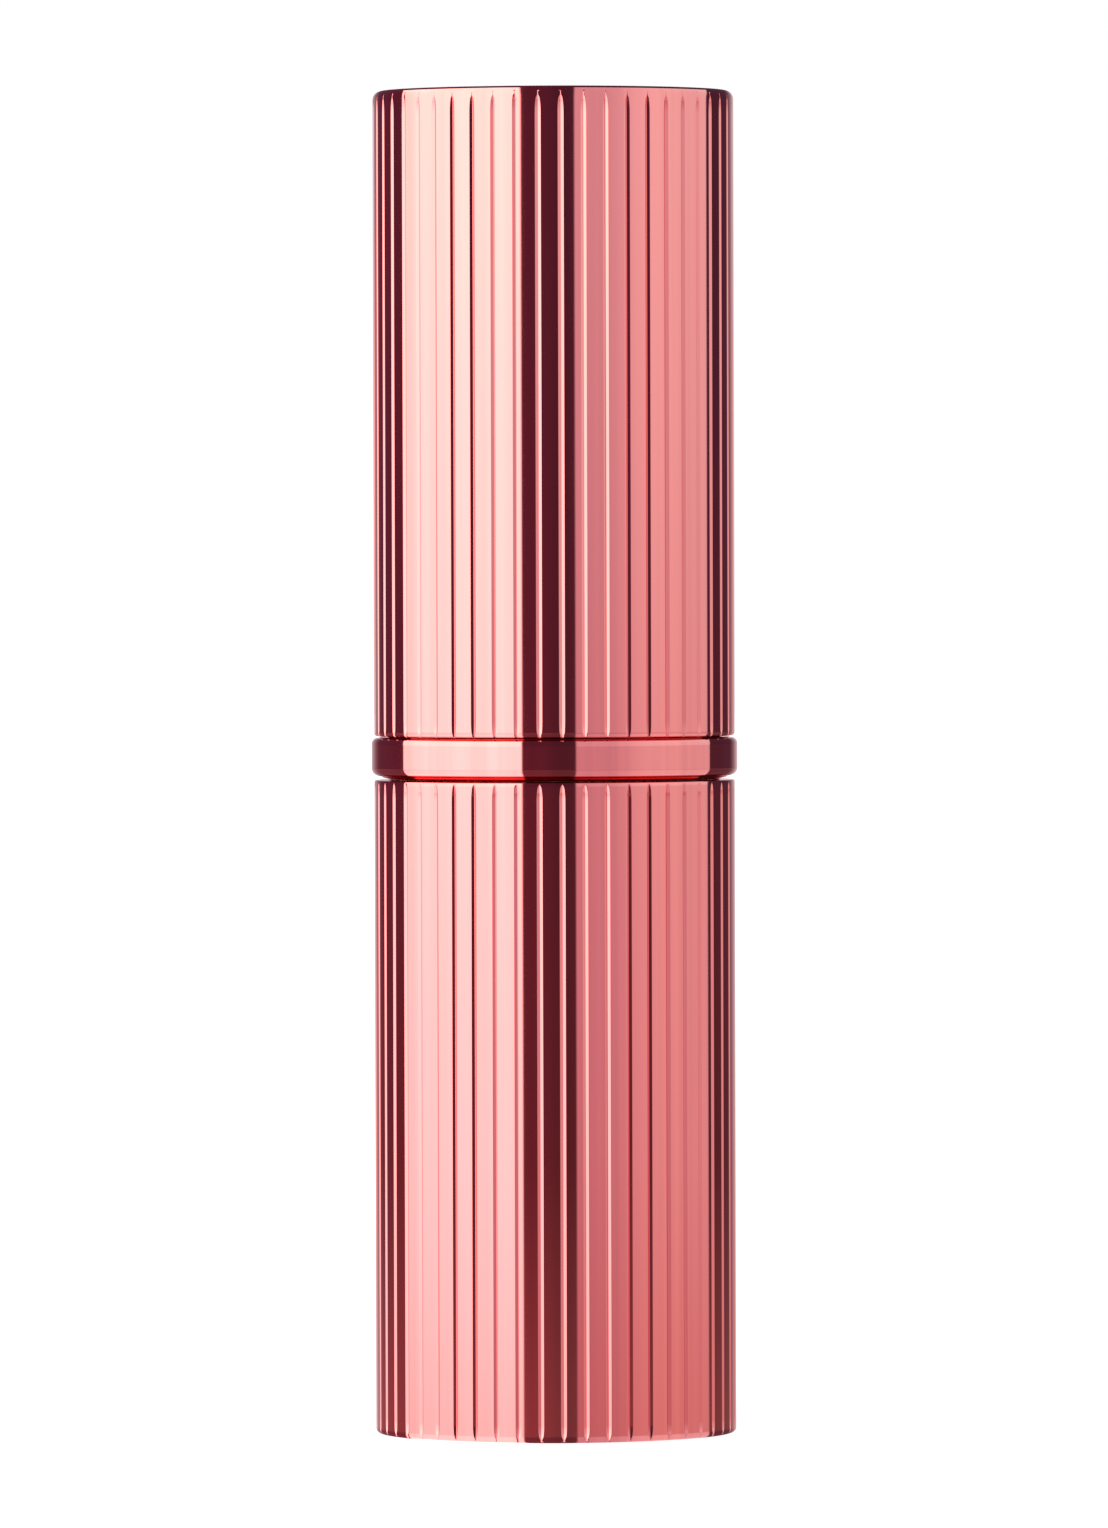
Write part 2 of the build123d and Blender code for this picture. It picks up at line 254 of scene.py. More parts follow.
def add_strip(name, columns, rows):
    """Adds an upright flat strip of columns by rows of vertices, open for editing."""
    bpy.ops.object.select_all(action="DESELECT")
    bpy.ops.mesh.primitive_grid_add(
        x_subdivisions=columns - 1, y_subdivisions=rows - 1, size=2, rotation=(pi / 2, 0, 0)
    )
    strip = bpy.context.object
    strip.name = strip.data.name = name
    bpy.ops.object.transform_apply(rotation=True)
    bpy.ops.object.mode_set(mode="EDIT")
    bpy.ops.mesh.select_mode(type="VERT")
    return strip


def pick(piece, wanted):
    """Selects the vertices whose numbers are wanted, and no others."""
    mesh = bmesh.from_edit_mesh(piece.data)
    for vert in mesh.verts:
        vert.select = vert.index in wanted
    mesh.select_flush_mode()
    bmesh.update_edit_mesh(piece.data)


def flute_section(flutes, radius):
    """One flute and half the land on each side of it, as (angle, depth) from left to right."""
    slope = flutes.wall_slope
    points = [(0.0, 0.0)]  # across from the root, and up from it
    for step in (1, 2, 3):
        turn = slope * step / 3
        points.append((flutes.root_radius * sin(turn), flutes.root_radius * (1 - cos(turn))))
    across, up = points[-1]
    for share in WALL_SHARES:
        along = flutes.wall_length * share
        points.append((across + along * cos(slope), up + along * sin(slope)))
    across, up = points[-1]
    shoulder = flutes.shoulder_radius
    for step in (1, 2, 3, 4):
        turn = slope * (1 - step / 4)
        sideways = shoulder * (sin(slope) - sin(turn))
        upwards = shoulder * (cos(turn) - cos(slope))
        points.append((across + sideways, up + upwards))
    width, depth = points[-1]
    mouth, half = width / radius, pi / flutes.count
    right = [(across / radius, depth - up) for across, up in points]
    right += [(mouth + (half - mouth) * share, 0.0) for share in LAND_SHARES]
    left = [(-angle, depth) for angle, depth in reversed(right[1:])]
    return left + right


def plain_section(count):
    """A plain sector of a round piece, as (angle, depth) from left to right."""
    half = pi / count
    return [(half * share, 0.0) for share in (-1, -0.5, 0, 0.5, 1)]


def turn_round(name, stations, section, count):
    """Turns stations of (radius, height, flute) round Z and returns the finished piece.

    One sector is shaped from a flat strip, with a column for each point of the section and a row
    for each station. It is then copied round and joined. A station's flute is the share of the
    groove that is cut there.
    """
    wide, tall = len(section), len(stations)
    piece = add_strip(name, wide, tall)
    full = max(radius for radius, height, flute in stations)
    for column, (angle, depth) in enumerate(section):
        pick(piece, range(column, wide * tall, wide))
        start = 2 * column / (wide - 1) - 1
        bpy.ops.transform.translate(value=(full * sin(angle) - start, -full * cos(angle), 0))
    for row, (radius, height, flute) in enumerate(stations):
        pick(piece, range(row * wide, (row + 1) * wide))
        start = 2 * row / (tall - 1) - 1
        bpy.ops.transform.translate(value=(0, 0, height - start))
        share = radius / full
        bpy.ops.transform.resize(value=(share, share, 1), center_override=(0, 0, height))
    for cut in sorted({flute for radius, height, flute in stations if flute > 0}):
        rows = [row for row, station in enumerate(stations) if station[2] == cut]
        for column, (angle, depth) in enumerate(section):
            if depth > 0:
                pick(piece, {row * wide + column for row in rows})
                bpy.ops.transform.translate(value=((cut - 1) * full * sin(angle), depth * cut, 0))
    bpy.ops.mesh.select_all(action="SELECT")
    copies = count - 1
    bpy.ops.mesh.spin(
        steps=copies, dupli=True, angle=2 * pi * copies / count, center=(0, 0, 0), axis=(0, 0, 1)
    )
    bpy.ops.mesh.select_all(action="SELECT")
    bpy.ops.mesh.remove_doubles(threshold=WELD)
    bpy.ops.mesh.normals_make_consistent(inside=False)
    bpy.ops.object.mode_set(mode="OBJECT")
    return piece


def finish_piece(piece, body, node, material, turned=0.0, smooth=radians(32)):
    """Brings a piece down to metres, smooths it, and gives it its finish and its body."""
    bpy.ops.object.select_all(action="DESELECT")
    piece.select_set(True)
    bpy.context.view_layer.objects.active = piece
    piece.rotation_euler.z = turned
    piece.scale = (1 / MM, 1 / MM, 1 / MM)
    bpy.ops.object.transform_apply(location=True, rotation=True, scale=True)
    bpy.ops.object.shade_smooth_by_angle(angle=smooth)
    piece.data.materials.clear()
    piece.data.materials.append(material)
    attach(piece, body)
    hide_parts(node)


def rounded(centre, radius, start, end, steps, flute=0.0):
    """Stations along an arc. Angles are in degrees, from outwards at 0 to upwards at 90."""
    across, height = centre
    turns = [radians(start + (end - start) * step / steps) for step in range(steps + 1)]
    return [(across + radius * cos(turn), height + radius * sin(turn), flute) for turn in turns]


def straight_run(radius, low, top):
    """The two stations of full flutes on each side of a shell's middle."""
    middle = (top + low) / 2
    return [(radius, middle + HALF_RUN, 1), (radius, middle - HALF_RUN, 1)]


def run_out(radius, shut, full, steps=6, least=0.04):
    """Stations where the flutes grow from a point at one height to their full depth at another."""
    made = []
    for step in range(steps + 1):
        share = step / steps
        cut = least + (1 - least) * sqrt(share * (2 - share))
        made.append((radius, shut + (full - shut) * share, cut))
    return made


# ---- shader maths -------------------------------------------------------------------------


class Value:
    """A socket of a shader. Arithmetic on it adds Math nodes to its tree."""

    def __init__(self, paint, socket):
        self.paint = paint
        self.socket = socket

    def maths(self, operation, first, second=0.0):
        """Adds one Math node."""
        return self.paint.node("ShaderNodeMath", {"operation": operation}, {0: first, 1: second})

    def __add__(self, other):
        return self.maths("ADD", self, other)

    def __sub__(self, other):
        return self.maths("SUBTRACT", self, other)

    def __rsub__(self, other):
        return self.maths("SUBTRACT", other, self)

    def __mul__(self, other):
        return self.maths("MULTIPLY", self, other)

    def __truediv__(self, other):
        return self.maths("DIVIDE", self, other)

    __radd__ = __add__
    __rmul__ = __mul__


class Paint:
    """The node tree of a material, with one method for adding any node."""

    def __init__(self, name):
        self.material = bpy.data.materials.new(name)
        self.material.use_nodes = True
        self.tree = self.material.node_tree
        self.tree.nodes.clear()

    def node(self, kind, settings=None, sockets=None, output=0):
        """Adds a node, sets it up, fills or links its sockets, and returns one of its outputs."""
        made = self.tree.nodes.new(kind)
        for name, value in (settings or {}).items():
            if name == "stops":
                self.set_stops(made.color_ramp.elements, value)
            else:
                setattr(made, name, value)
        for name, value in (sockets or {}).items():
            if isinstance(value, Value):
                self.tree.links.new(value.socket, made.inputs[name])
            else:
                made.inputs[name].default_value = value
        return Value(self, made.outputs[output]) if made.outputs else None

    def set_stops(self, elements, stops):
        """Gives a colour ramp its stops, as (position, colour)."""
        elements.remove(elements[1])
        elements[0].position, elements[0].color = stops[0]
        for position, colour in stops[1:]:
            elements.new(position).color = colour

    def place(self):
        """Object coordinates."""
        return self.node("ShaderNodeTexCoord", output="Object")

    def parts(self, vector):
        """The x, y and z of a vector."""
        return [self.node("ShaderNodeSeparateXYZ", {}, {0: vector}, axis) for axis in "XYZ"]

    def stretched(self, vector, scale):
        """A vector scaled along each axis, to stretch a pattern."""
        return self.node("ShaderNodeMapping", {}, {"Vector": vector, "Scale": scale})

    def noise(self, vector, scale, detail=2.0, roughness=0.5):
        """A noise pattern between 0 and 1."""
        sockets = {"Vector": vector, "Scale": scale, "Detail": detail, "Roughness": roughness}
        return self.node("ShaderNodeTexNoise", {}, sockets, "Fac")

    def ease(self, value, low, high, to_low=0.0, to_high=1.0, smooth=True):
        """Maps a value from one range to another, clamped, and eased at both ends if smooth."""
        sockets = {
            "Value": value,
            "From Min": low,
            "From Max": high,
            "To Min": to_low,
            "To Max": to_high,
        }
        way = "SMOOTHSTEP" if smooth else "LINEAR"
        return self.node("ShaderNodeMapRange", {"interpolation_type": way}, sockets)

    def blend(self, factor, first, second):
        """Mixes two colours."""
        settings = {"data_type": "RGBA"}
        return self.node("ShaderNodeMix", settings, {0: factor, 6: first, 7: second}, 2)

    def bump(self, height, strength, distance):
        """A normal bent by a height."""
        sockets = {"Height": height, "Strength": strength, "Distance": distance}
        return self.node("ShaderNodeBump", {}, sockets)

    def surface(self, **sockets):
        """Ends the tree in one Principled BSDF. Underscores in names stand for spaces."""
        named = {name.replace("_", " "): value for name, value in sockets.items()}
        return self.end(self.node("ShaderNodeBsdfPrincipled", {}, named))

    def end(self, shader):
        """Links a shader to the material's output."""
        self.node("ShaderNodeOutputMaterial", {}, {"Surface": shader})
        return self.material

    def tinted(self, first, second):
        """Two colours multiplied together."""
        return self.node("ShaderNodeVectorMath", {"operation": "MULTIPLY"}, {0: first, 1: second})

    def ramp(self, value, *stops):
        """A colour that changes along a value. Each stop is (value, red, green, blue)."""
        coloured = [(at, (*colour, 1.0)) for at, *colour in stops]
        return self.node("ShaderNodeValToRGB", {"stops": coloured}, {0: value})

    def one(self, operation, value):
        """A Math node on one value, such as ABSOLUTE, SINE or SQRT."""
        return self.node("ShaderNodeMath", {"operation": operation}, {0: value})


def opaque(colour, share=1.0):
    """A colour with alpha, darkened to a share of itself."""
    return (colour[0] * share, colour[1] * share, colour[2] * share, 1.0)


# ---- finishes -----------------------------------------------------------------------------


def mirror_metal(name, colour, drawn=0.03):
    """Lacquered mirror metal, with faint upright drawing lines and slightly softer patches."""
    paint = Paint(name)
    place = paint.place()
    patches = paint.noise(place, scale=90.0, detail=3.0)
    upright = paint.stretched(place, (1.0, 1.0, 0.006))
    finer = paint.stretched(place, (1.0, 1.0, 0.004))
    bands = paint.noise(upright, scale=700.0, detail=3.0, roughness=0.6)
    lines = paint.noise(finer, scale=2400.0, detail=2.0)
    tone = paint.ease(bands * 0.7 + lines * 0.3, 0.36, 0.64)
    return paint.surface(
        Base_Color=paint.blend(tone, opaque(colour, 0.93), opaque(colour, 1.05)),
        Metallic=1.0,
        Roughness=paint.ease(patches, 0.3, 0.7, 0.03, 0.05),
        Coat_Weight=0.5,
        Coat_Roughness=0.02,
        Normal=paint.bump(lines, drawn, distance=0.000002),
    )


def moulded_plastic(name, colour, roughness, grain=0.12):
    """Injection-moulded plastic with a fine spark-eroded grain and a slight change of tone."""
    paint = Paint(name)
    place = paint.place()
    grains = paint.noise(place, scale=5200.0, detail=3.0, roughness=0.6)
    flow = paint.noise(paint.stretched(place, (1.0, 1.0, 0.35)), scale=120.0, detail=2.0)
    return paint.surface(
        Base_Color=paint.blend(paint.ease(flow, 0.3, 0.7), opaque(colour, 0.93), opaque(colour)),
        Roughness=paint.ease(grains, 0.3, 0.7, roughness - 0.05, roughness + 0.06),
        Normal=paint.bump(grains, grain, distance=0.00001),
    )


def turned_steel(name):
    """Bare turned steel with fine rings from the lathe."""
    paint = Paint(name)
    place = paint.place()
    x, y, z = paint.parts(place)
    rate = 42000.0  # how fast the lathe's rings follow each other, in radians to the metre
    rings = paint.one("SINE", (paint.one("SQRT", x * x + y * y) + z) * rate)
    stain = paint.noise(place, scale=260.0, detail=4.0)
    dull, clean = (0.42, 0.41, 0.40, 1.0), (0.56, 0.56, 0.57, 1.0)
    return paint.surface(
        Base_Color=paint.blend(paint.ease(stain, 0.35, 0.7), dull, clean),
        Metallic=1.0,
        Roughness=paint.ease(stain, 0.3, 0.7, 0.28, 0.42),
        Normal=paint.bump(rings, strength=0.2, distance=0.000006),
    )


def black_rubber(name):
    """Moulded nitrile rubber with a dusty bloom."""
    paint = Paint(name)
    bloom = paint.noise(paint.place(), scale=900.0, detail=4.0)
    black, dusty = (0.012, 0.012, 0.013, 1.0), (0.045, 0.044, 0.043, 1.0)
    return paint.surface(
        Base_Color=paint.blend(paint.ease(bloom, 0.4, 0.75), black, dusty),
        Roughness=paint.ease(bloom, 0.3, 0.7, 0.62, 0.8),
        Normal=paint.bump(bloom, strength=0.15, distance=0.00001),
    )


def label_paper(name):
    """Coated paper with its fibres just showing."""
    paint = Paint(name)
    place = paint.place()
    along = paint.stretched(place, (1.0, 0.25, 1.0))
    fibres = paint.noise(along, scale=3800.0, detail=5.0, roughness=0.65)
    return paint.surface(
        Base_Color=paint.blend(fibres, (0.83, 0.66, 0.62, 1.0), (0.93, 0.80, 0.76, 1.0)),
        Roughness=paint.ease(fibres, 0.3, 0.7, 0.45, 0.6),
        Normal=paint.bump(fibres, strength=0.25, distance=0.000008),
    )


def lipstick_wax(name, colour):
    """Satin lipstick: a smooth moulded skin with faint flow marks and a few pores."""
    paint = Paint(name)
    place = paint.place()
    flow = paint.noise(paint.stretched(place, (1.0, 1.0, 0.3)), scale=210.0, detail=3.0)
    pores = paint.node("ShaderNodeTexVoronoi", {}, {"Vector": place, "Scale": 2300.0}, "Distance")
    skin = flow * 0.6 + paint.ease(pores, 0.0, 0.35) * 0.4
    deep, light = opaque(colour, 0.86), opaque(colour, 1.06)
    return paint.surface(
        Base_Color=paint.blend(paint.ease(flow, 0.3, 0.7), deep, light),
        Roughness=paint.ease(flow, 0.3, 0.7, 0.3, 0.4),
        Subsurface_Weight=0.12,
        Subsurface_Radius=(0.0012, 0.0004, 0.0004),
        Subsurface_Scale=1.0,
        Normal=paint.bump(skin, strength=0.12, distance=0.00002),
    )


# ---- pieces -------------------------------------------------------------------------------


class LIPSTICK_OT_shells(bpy.types.Operator):
    """Models the fluted shells of the cap and the base"""

    bl_idname = "lipstick.shells"
    bl_label = "Fluted Shells"

    def execute(self, context):
        flutes = context.scene.lipstick_flutes
        metal = mirror_metal("rose_gold_mirror", context.scene.lipstick_finish.metal)
        outside = radius_of("cap_shell")
        section = flute_section(flutes, outside)
        for name, stations, body in (
            ("cap_shell_fluted", self.cap_stations(context), "cap"),
            ("base_shell_fluted", self.base_stations(context), "base"),
        ):
            shell = turn_round(name, stations, section, flutes.count)
            node = name.replace("_fluted", "")
            finish_piece(shell, body, node, metal, flutes.turned)
        return {"FINISHED"}

    def cap_stations(self, context):
        """The cap's outline, from the middle of its top, down the outside and back up inside."""
        sizes = context.scene.lipstick_case
        outside, bore = radius_of("cap_shell"), radius_of("cap_liner")
        low, top, ceiling = bottom_of("cap_shell"), top_of("cap_shell"), top_of("cap_weight")
        edge, mouth = sizes.cap_top_edge, sizes.mouth_edge
        corner, shoulder = outside - edge, top - edge
        run, past_mouth, chamfer = 1.0, 0.35, 0.06
        stations = [(0, top, 0), (corner * 0.5, top, 0), (corner - HOLD, top, 0)]
        stations += rounded((corner, shoulder), edge, 90, 30, 8)
        stations += rounded((corner, shoulder), edge, 22, 6, 2, 0.12)
        stations += run_out(outside, shoulder, shoulder - run, least=0.15)
        stations += straight_run(outside, low, top)
        leaving = run_out(outside, low - past_mouth, low + run)
        stations += [station for station in reversed(leaving) if station[1] > low + mouth]
        stations += rounded((outside - mouth, low + mouth), mouth, 0, -60, 3, leaving[1][2])
        stations += rounded((outside - mouth, low + mouth), mouth, -75, -90, 1)
        stations += [(bore + chamfer, low, 0), (bore, low + chamfer, 0)]
        stations += [(bore, ceiling, 0), (0, ceiling, 0)]
        return stations

    def base_stations(self, context):
        """The base's outline, from the middle of its floor, over the rim and under the foot."""
        sizes = context.scene.lipstick_case
        outside, bore = radius_of("base_shell"), radius_of("base_insert")
        foot, floor = bottom_of("base_shell"), bottom_of("base_weight")
        collar_gap, label_gap = 0.02, 0.15
        rim_run, foot_run = 0.9, 0.7
        top = bottom_of("collar_ring") - collar_gap
        recess, recess_top = radius_of("base_label") + label_gap, top_of("base_label")
        edge, under = sizes.base_top_edge, sizes.foot_edge
        shoulder, ankle = top - edge, foot + under
        stations = [(0, floor, 0), (bore, floor, 0), (bore, top, 0)]
        stations += rounded((outside - edge, shoulder), edge, 90, 15, 4)
        stations += run_out(outside, shoulder, shoulder - rim_run)
        stations += straight_run(outside, foot, top)
        stations += reversed(run_out(outside, ankle, ankle + foot_run, least=0.45))
        stations += rounded((outside - under, ankle), under, -12, -36, 2, 0.3)
        stations += rounded((outside - under, ankle), under, -50, -90, 3)
        stations += [(outside - under - HOLD, foot, 0), (recess, foot, 0)]
        stations += [(recess, recess_top, 0), (0, recess_top, 0)]
        return stations


class LIPSTICK_OT_collar_and_tube(bpy.types.Operator):
    """Models the plain collar ring and the polished sleeve tube"""

    bl_idname = "lipstick.collar_and_tube"
    bl_label = "Collar and Tube"

    def execute(self, context):
        finish = context.scene.lipstick_finish
        count = context.scene.lipstick_flutes.count
        collar_metal = mirror_metal("collar_mirror", finish.metal, 0.02)
        sleeve_metal = mirror_metal("sleeve_mirror", finish.tube, 0.1)
        for name, stations, slot, metal in (
            ("collar_ring_turned", self.collar_stations(context), "rose_gold_collar", collar_metal),
            ("sleeve_tube_drawn", self.tube_stations(), "polished_sleeve", sleeve_metal),
        ):
            piece = turn_round(name, stations, plain_section(count), count)
            node = name.rsplit("_", 1)[0]
            finish_piece(piece, "sleeve", node, metal)
        return {"FINISHED"}

    def collar_stations(self, context):
        """The collar's closed outline: the lip in the cap's mouth, the band, the neck, the bore.

        The small bevels above and below the band mirror the seams, which show as thin red lines.
        """
        edge = context.scene.lipstick_case.collar_edge
        lower_edge = edge + 0.1
        band, bore = radius_of("collar_ring"), radius_of("sleeve_tube")
        top, foot = top_of("collar_ring"), bottom_of("collar_ring")
        neck = bore + 0.6
        lip_top, shelf, under = bottom_of("cap_liner") - 0.08, top + 0.07, foot + 0.22
        lip_lean, chamfer, neck_chamfer = 0.02, 0.08, 0.05
        hold, close_hold = 0.08, 0.03
        bevel, lower_bevel = 0.045, 0.085
        stations = [(bore, lip_top, 0), (neck - chamfer, lip_top, 0), (neck, lip_top - chamfer, 0)]
        inner = band - edge - hold
        stations += [(neck + lip_lean, shelf, 0), (inner - bevel, top + bevel, 0), (inner, top, 0)]
        stations += rounded((band - edge, top - edge), edge, 90, 0, 10)
        stations += [(band, top - edge - close_hold, 0)]
        stations += [(band, under + lower_edge + close_hold, 0)]
        stations += rounded((band - lower_edge, under + lower_edge), lower_edge, 0, -90, 10)
        inner = band - lower_edge - hold
        stations += [(inner, under, 0), (inner - lower_bevel, under - lower_bevel, 0)]
        stations += [(neck, foot + close_hold, 0), (neck - neck_chamfer, foot, 0)]
        stations += [(bore, foot, 0), (bore, lip_top, 0)]
        return stations

    def tube_stations(self):
        """The tube's closed outline: its foot, the outside, the rim turned in, and the bore."""
        outside, bore = radius_of("sleeve_tube"), radius_of("helix_tube")
        foot, top = bottom_of("sleeve_tube"), top_of("sleeve_tube")
        wall = outside - bore
        edge, hold = 0.3, 0.05
        rim, rim_edge = 6.9, 0.1
        stations = [(bore, foot, 0), (outside, foot, 0), (outside, top - edge - hold, 0)]
        stations += rounded((outside - edge, top - edge), edge, 0, 90, 9)
        stations += [(outside - edge - hold, top, 0), (rim + rim_edge + hold, top, 0)]
        stations += rounded((rim + rim_edge, top - rim_edge), rim_edge, 90, 180, 4)
        stations += [(rim, top - wall, 0), (bore, top - wall, 0), (bore, foot, 0)]
        return stations


class LIPSTICK_OT_lipstick(bpy.types.Operator):
    """Models the lipstick, cut at a slant with a rounded edge"""

    bl_idname = "lipstick.lipstick"
    bl_label = "Lipstick"

    def execute(self, context):
        drop = context.scene.lipstick_case.slant_drop
        radius = radius_of("lipstick_bullet")
        tip_length, tip_edge = 0.2, 0.75
        foot, top = bottom_of("lipstick_bullet"), top_of("lipstick_bullet") + tip_length
        bpy.ops.object.select_all(action="DESELECT")
        bpy.ops.mesh.primitive_cylinder_add(
            vertices=96, radius=radius, depth=top - foot, location=(0, 0, (top + foot) / 2)
        )
        stick = bpy.context.object
        stick.name = stick.data.name = "lipstick_slanted"
        bpy.ops.object.transform_apply(location=True)
        bpy.ops.object.mode_set(mode="EDIT")
        bpy.ops.mesh.select_all(action="SELECT")
        bpy.ops.mesh.bisect(
            plane_co=(0, 0, top - drop / 2),
            plane_no=(-drop, 0, 2 * radius),
            use_fill=True,
            clear_outer=True,
        )
        bpy.ops.object.mode_set(mode="OBJECT")
        edge = stick.modifiers.new("edge", "BEVEL")
        edge.width, edge.segments, edge.limit_method = tip_edge, 8, "ANGLE"
        bpy.ops.object.modifier_apply(modifier="edge")
        bpy.ops.object.mode_set(mode="EDIT")
        bpy.ops.mesh.select_all(action="SELECT")
        bpy.ops.mesh.dissolve_degenerate(threshold=0.001)
        bpy.ops.object.mode_set(mode="OBJECT")
        wax = lipstick_wax("lipstick_wax", context.scene.lipstick_finish.lipstick)
        finish_piece(stick, "cup", "lipstick_bullet", wax, smooth=radians(40))
        return {"FINISHED"}


class LIPSTICK_OT_inner_finishes(bpy.types.Operator):
    """Gives the pieces inside the case their finishes"""

    bl_idname = "lipstick.inner_finishes"
    bl_label = "Inner Finishes"

    def execute(self, context):
        white = moulded_plastic("white_moulding", (0.82, 0.80, 0.77), 0.42)
        acetal = moulded_plastic("natural_acetal", (0.78, 0.77, 0.72), 0.3, 0.06)
        steel = turned_steel("turned_steel")
        finishes = {
            "base_insert": white,
            "cap_liner": white,
            "slotted_tube": acetal,
            "helix_tube": acetal,
            "carrier_cup": acetal,
            "base_weight": steel,
            "cap_weight": steel,
            "friction_ring": black_rubber("nitrile_rubber"),
            "base_label": label_paper("label_paper"),
        }
        for node, finish in finishes.items():
            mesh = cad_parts[node].data
            mesh.materials.clear()
            mesh.materials.append(finish)
        return {"FINISHED"}


# ---- studio -------------------------------------------------------------------------------


class LIPSTICK_OT_stage(bpy.types.Operator):
    """Sets up the floor, the tent of reflections, the lights and the camera"""

    bl_idname = "lipstick.stage"
    bl_label = "Studio"

    def execute(self, context):
        studio = context.scene.lipstick_studio
        self.add_backdrop(context)
        self.add_floor()
        self.add_tent(studio)
        self.add_light("key_softbox", place=(-0.7, -0.6, 0.55), size=0.8, power=9.0)
        self.add_light("fill_softbox", place=(0.9, -0.4, 0.4), size=0.8, power=5.0)
        self.add_camera(context, studio)
        return {"FINISHED"}

    def add_backdrop(self, context):
        """A plain white surround, and colours shown as they are."""
        world = bpy.data.worlds.new("white_surround")
        world.use_nodes = True
        background = world.node_tree.nodes["Background"]
        background.inputs["Color"].default_value = (1.0, 1.0, 1.0, 1.0)
        background.inputs["Strength"].default_value = 1.0
        context.scene.world = world
        context.scene.view_settings.view_transform = "Standard"

    def add_floor(self):
        """A plain pale disc under the case, bright enough to run into the surround."""
        below_foot = -0.0001
        bpy.ops.mesh.primitive_circle_add(
            vertices=128, radius=3.0, fill_type="NGON", location=(0, 0, below_foot)
        )
        floor = bpy.context.object
        floor.name = "pale_floor"
        paint = Paint("pale_floor")
        paint.surface(
            Base_Color=(0.3, 0.3, 0.3, 1.0),
            Roughness=1.0,
            Specular_IOR_Level=0.0,
            Emission_Color=(1.0, 1.0, 1.0, 1.0),
            Emission_Strength=0.9,
        )
        floor.data.materials.append(paint.material)
        floor.visible_glossy = False
        floor.visible_shadow = False

    def add_tent(self, studio):
        """A sphere that only reflections see: two softboxes, and dark cloth between them."""
        bpy.ops.mesh.primitive_uv_sphere_add(
            segments=96, ring_count=48, radius=studio.tent_radius
        )
        tent = bpy.context.object
        tent.name = "studio_tent"
        bpy.ops.object.shade_smooth()
        tent.data.materials.append(tent_walls(studio.tent_radius))
        tent.visible_camera = False
        tent.visible_diffuse = False
        tent.visible_transmission = False
        tent.visible_volume_scatter = False
        tent.visible_shadow = False

    def add_light(self, name, place, size, power):
        """A square softbox that looks at the middle of the case."""
        light = bpy.data.lights.new(name, "AREA")
        light.size = size
        light.energy = power
        holder = bpy.data.objects.new(name, light)
        bpy.context.scene.collection.objects.link(holder)
        middle = (CAD_BOX[0] + CAD_BOX[1]) / 2
        holder.location = place
        holder.rotation_euler = (middle - Vector(place)).to_track_quat("-Z", "Y").to_euler()
        holder.visible_glossy = False

    def add_camera(self, context, studio):
        """The camera stands in front of the case, looking a little down."""
        camera = bpy.data.objects.new("camera", bpy.data.cameras.new("camera"))
        camera.location = (0, -studio.distance, studio.height)
        camera.rotation_euler = (pi / 2 - studio.tilt, studio.roll, 0)
        camera.data.lens = studio.lens
        camera.data.sensor_width = 36.0
        context.scene.collection.objects.link(camera)
        context.scene.camera = camera


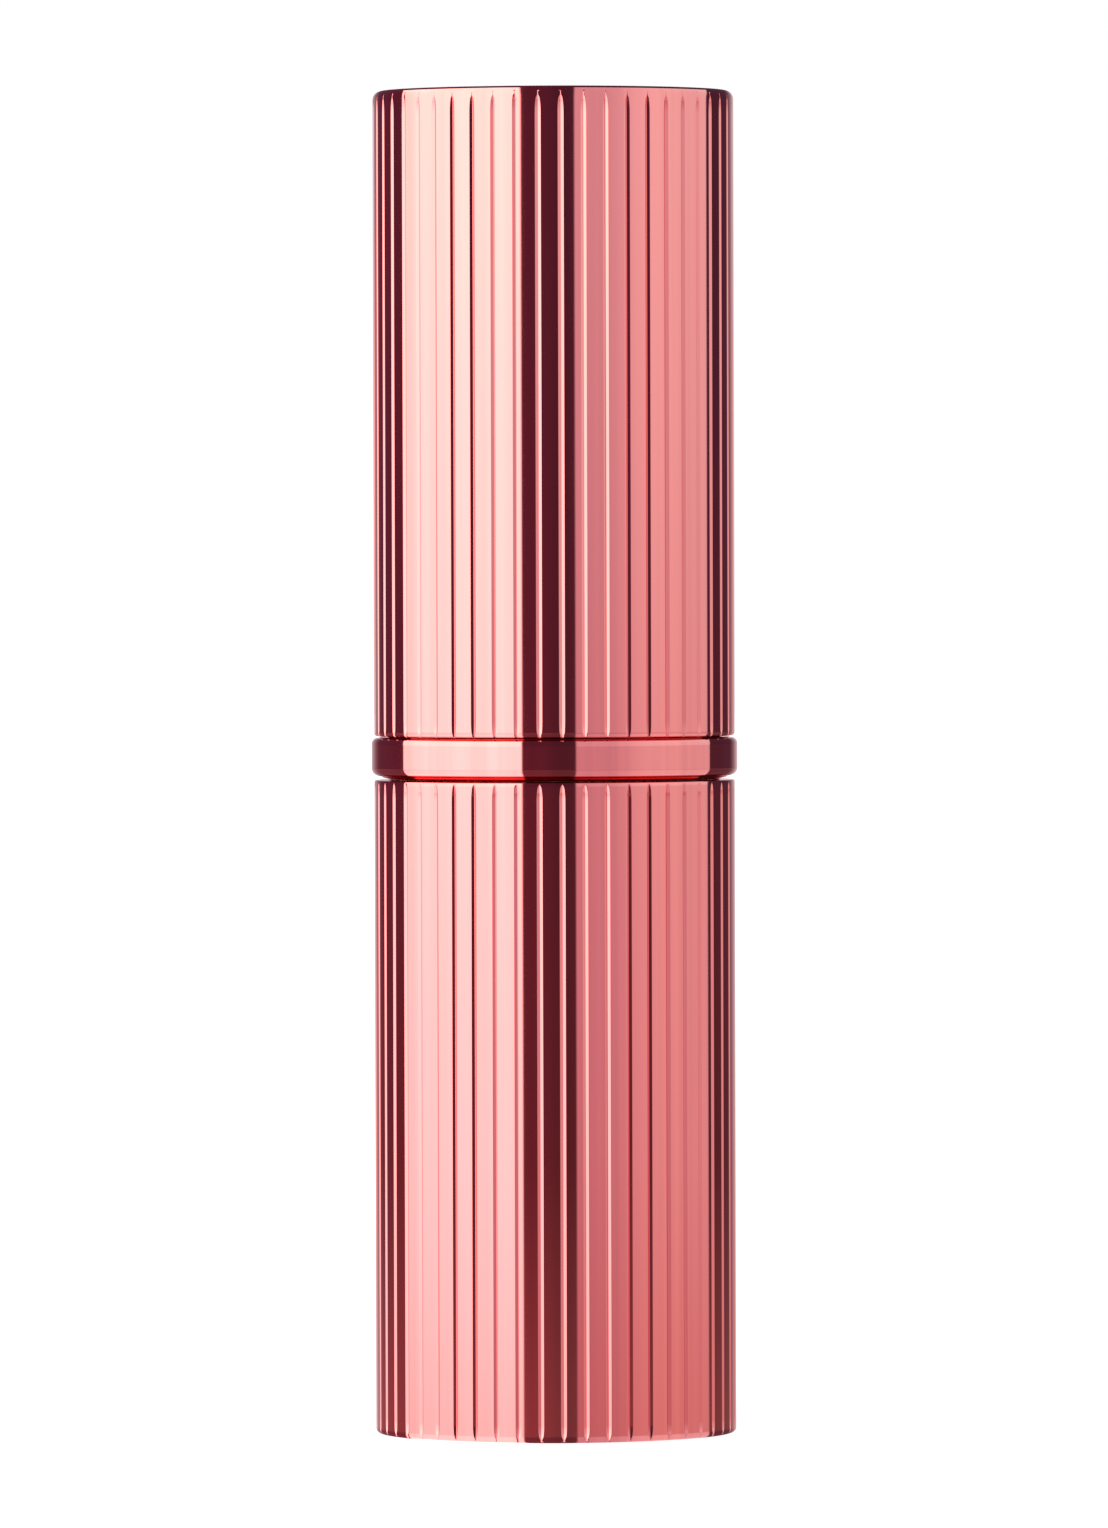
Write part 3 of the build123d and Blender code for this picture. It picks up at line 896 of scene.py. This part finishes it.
def tent_walls(radius):
    """The tent's glow, laid out by the way a surface faces when it mirrors a spot to the camera.

    Bearings are in degrees round the case from the camera, positive to the right.
    """
    paint = Paint("studio_tent")
    x, y, z = paint.parts(paint.place())
    ahead = radius - y
    bearing = paint.node("ShaderNodeMath", {"operation": "ARCTAN2"}, {0: x, 1: ahead})
    around = bearing * degrees(2)
    tilt = z / paint.one("SQRT", x * x + ahead * ahead)
    lowest, highest = -0.22, 0.071
    rise = paint.ease(z / radius, lowest, highest, smooth=False)

    def box(left_side, right_side, soft=0.8):
        """A softbox between two bearings, with soft edges."""
        after_left = paint.ease(around, left_side - soft, left_side + soft)
        after_right = paint.ease(around, right_side - soft, right_side + soft)
        return after_left * (1 - after_right)

    roof_starts, roof_full = 1.15, 1.35
    below_roof = 1 - paint.ease(tilt, roof_starts, roof_full)

    # The left softbox, from the foot of the case to its top.
    left = paint.ramp(
        rise,
        (0.40, 2.40, 2.35, 2.20),
        (0.525, 1.85, 1.80, 1.70),
        (0.57, 2.10, 2.07, 1.98),
        (0.625, 2.35, 2.30, 2.20),
        (0.78, 2.65, 2.62, 2.40),
        (0.885, 2.79, 2.76, 2.51),
        (1.0, 3.08, 3.00, 2.60),
    )

    # The right softbox, from its left side to its right, and from foot to top.
    right_end = 120
    across = paint.ramp(
        around / right_end,
        (0.11, 0.78, 0.72, 0.78),
        (0.33, 0.80, 0.79, 0.83),
        (0.45, 0.92, 0.99, 0.97),
        (0.57, 1.01, 1.13, 1.07),
        (0.70, 1.01, 1.12, 1.04),
        (0.82, 0.92, 0.98, 0.95),
    )
    upward = paint.ramp(
        rise,
        (0.40, 1.00, 0.95, 0.97),
        (0.525, 0.80, 0.54, 0.53),
        (0.625, 0.90, 0.74, 0.77),
        (0.78, 0.94, 0.88, 0.90),
        (0.885, 1.00, 1.03, 1.04),
        (0.98, 1.05, 1.13, 1.14),
    )

    # The dark cloth, from foot to top. It is warmer on the left, and paler behind the case.
    cloth = paint.ramp(
        rise,
        (0.40, 0.160, 0.070, 0.090),
        (0.53, 0.260, 0.120, 0.130),
        (0.625, 0.125, 0.046, 0.061),
        (0.78, 0.105, 0.039, 0.067),
        (1.0, 0.090, 0.035, 0.067),
    )
    warm, cool = (1.25, 1.05, 1.1, 1.0), (0.85, 1.0, 0.95, 1.0)
    cloth_tint = paint.blend(paint.ease(around, -20, 13), warm, cool)
    dim, bright = (0.62, 0.50, 0.52, 1.0), (0.80, 0.66, 0.68, 1.0)
    behind = paint.blend(paint.ease(around, -20, 20), dim, bright)
    colour = paint.tinted(cloth, cloth_tint)
    colour = paint.blend(paint.ease(paint.one("ABSOLUTE", around), 144, 176), colour, behind)
    colour = paint.blend(box(13.4, 115) * below_roof, colour, paint.tinted(across, upward))
    pink, white = (0.9, 0.78, 0.78, 1.0), (1.0, 1.0, 1.0, 1.0)
    fading = paint.blend(paint.ease(around, -112, -82), pink, white)
    colour = paint.blend(box(-110.5, -20.5) * below_roof, colour, paint.tinted(left, fading))
    paint.end(paint.node("ShaderNodeEmission", {}, {"Color": colour, "Strength": 1.0}))
    paint.material.cycles.emission_sampling = "NONE"
    return paint.material


# ---- add-on -------------------------------------------------------------------------------

STEPS = (
    LIPSTICK_OT_shells,
    LIPSTICK_OT_collar_and_tube,
    LIPSTICK_OT_lipstick,
    LIPSTICK_OT_inner_finishes,
    LIPSTICK_OT_stage,
)


class LIPSTICK_PT_panel(bpy.types.Panel):
    """Lists the steps that make the case"""

    bl_label = "Lipstick Case"
    bl_idname = "LIPSTICK_PT_panel"
    bl_space_type = "VIEW_3D"
    bl_region_type = "UI"
    bl_category = "Lipstick"

    def draw(self, context):
        for step in STEPS:
            self.layout.operator(step.bl_idname)


CLASSES = (*SETTINGS.values(), *STEPS, LIPSTICK_PT_panel)


def register():
    """Registers the classes, and hangs the settings on the scene."""
    for made in CLASSES:
        bpy.utils.register_class(made)
    for name, group in SETTINGS.items():
        setattr(bpy.types.Scene, name, PointerProperty(type=group))


def unregister():
    """Undoes register."""
    for name in SETTINGS:
        delattr(bpy.types.Scene, name)
    for made in reversed(CLASSES):
        bpy.utils.unregister_class(made)


def main():
    """Makes the case and its studio."""
    register()
    bpy.ops.lipstick.shells()
    bpy.ops.lipstick.collar_and_tube()
    bpy.ops.lipstick.lipstick()
    bpy.ops.lipstick.inner_finishes()
    bpy.ops.lipstick.stage()


if __name__ == "__main__":
    main()
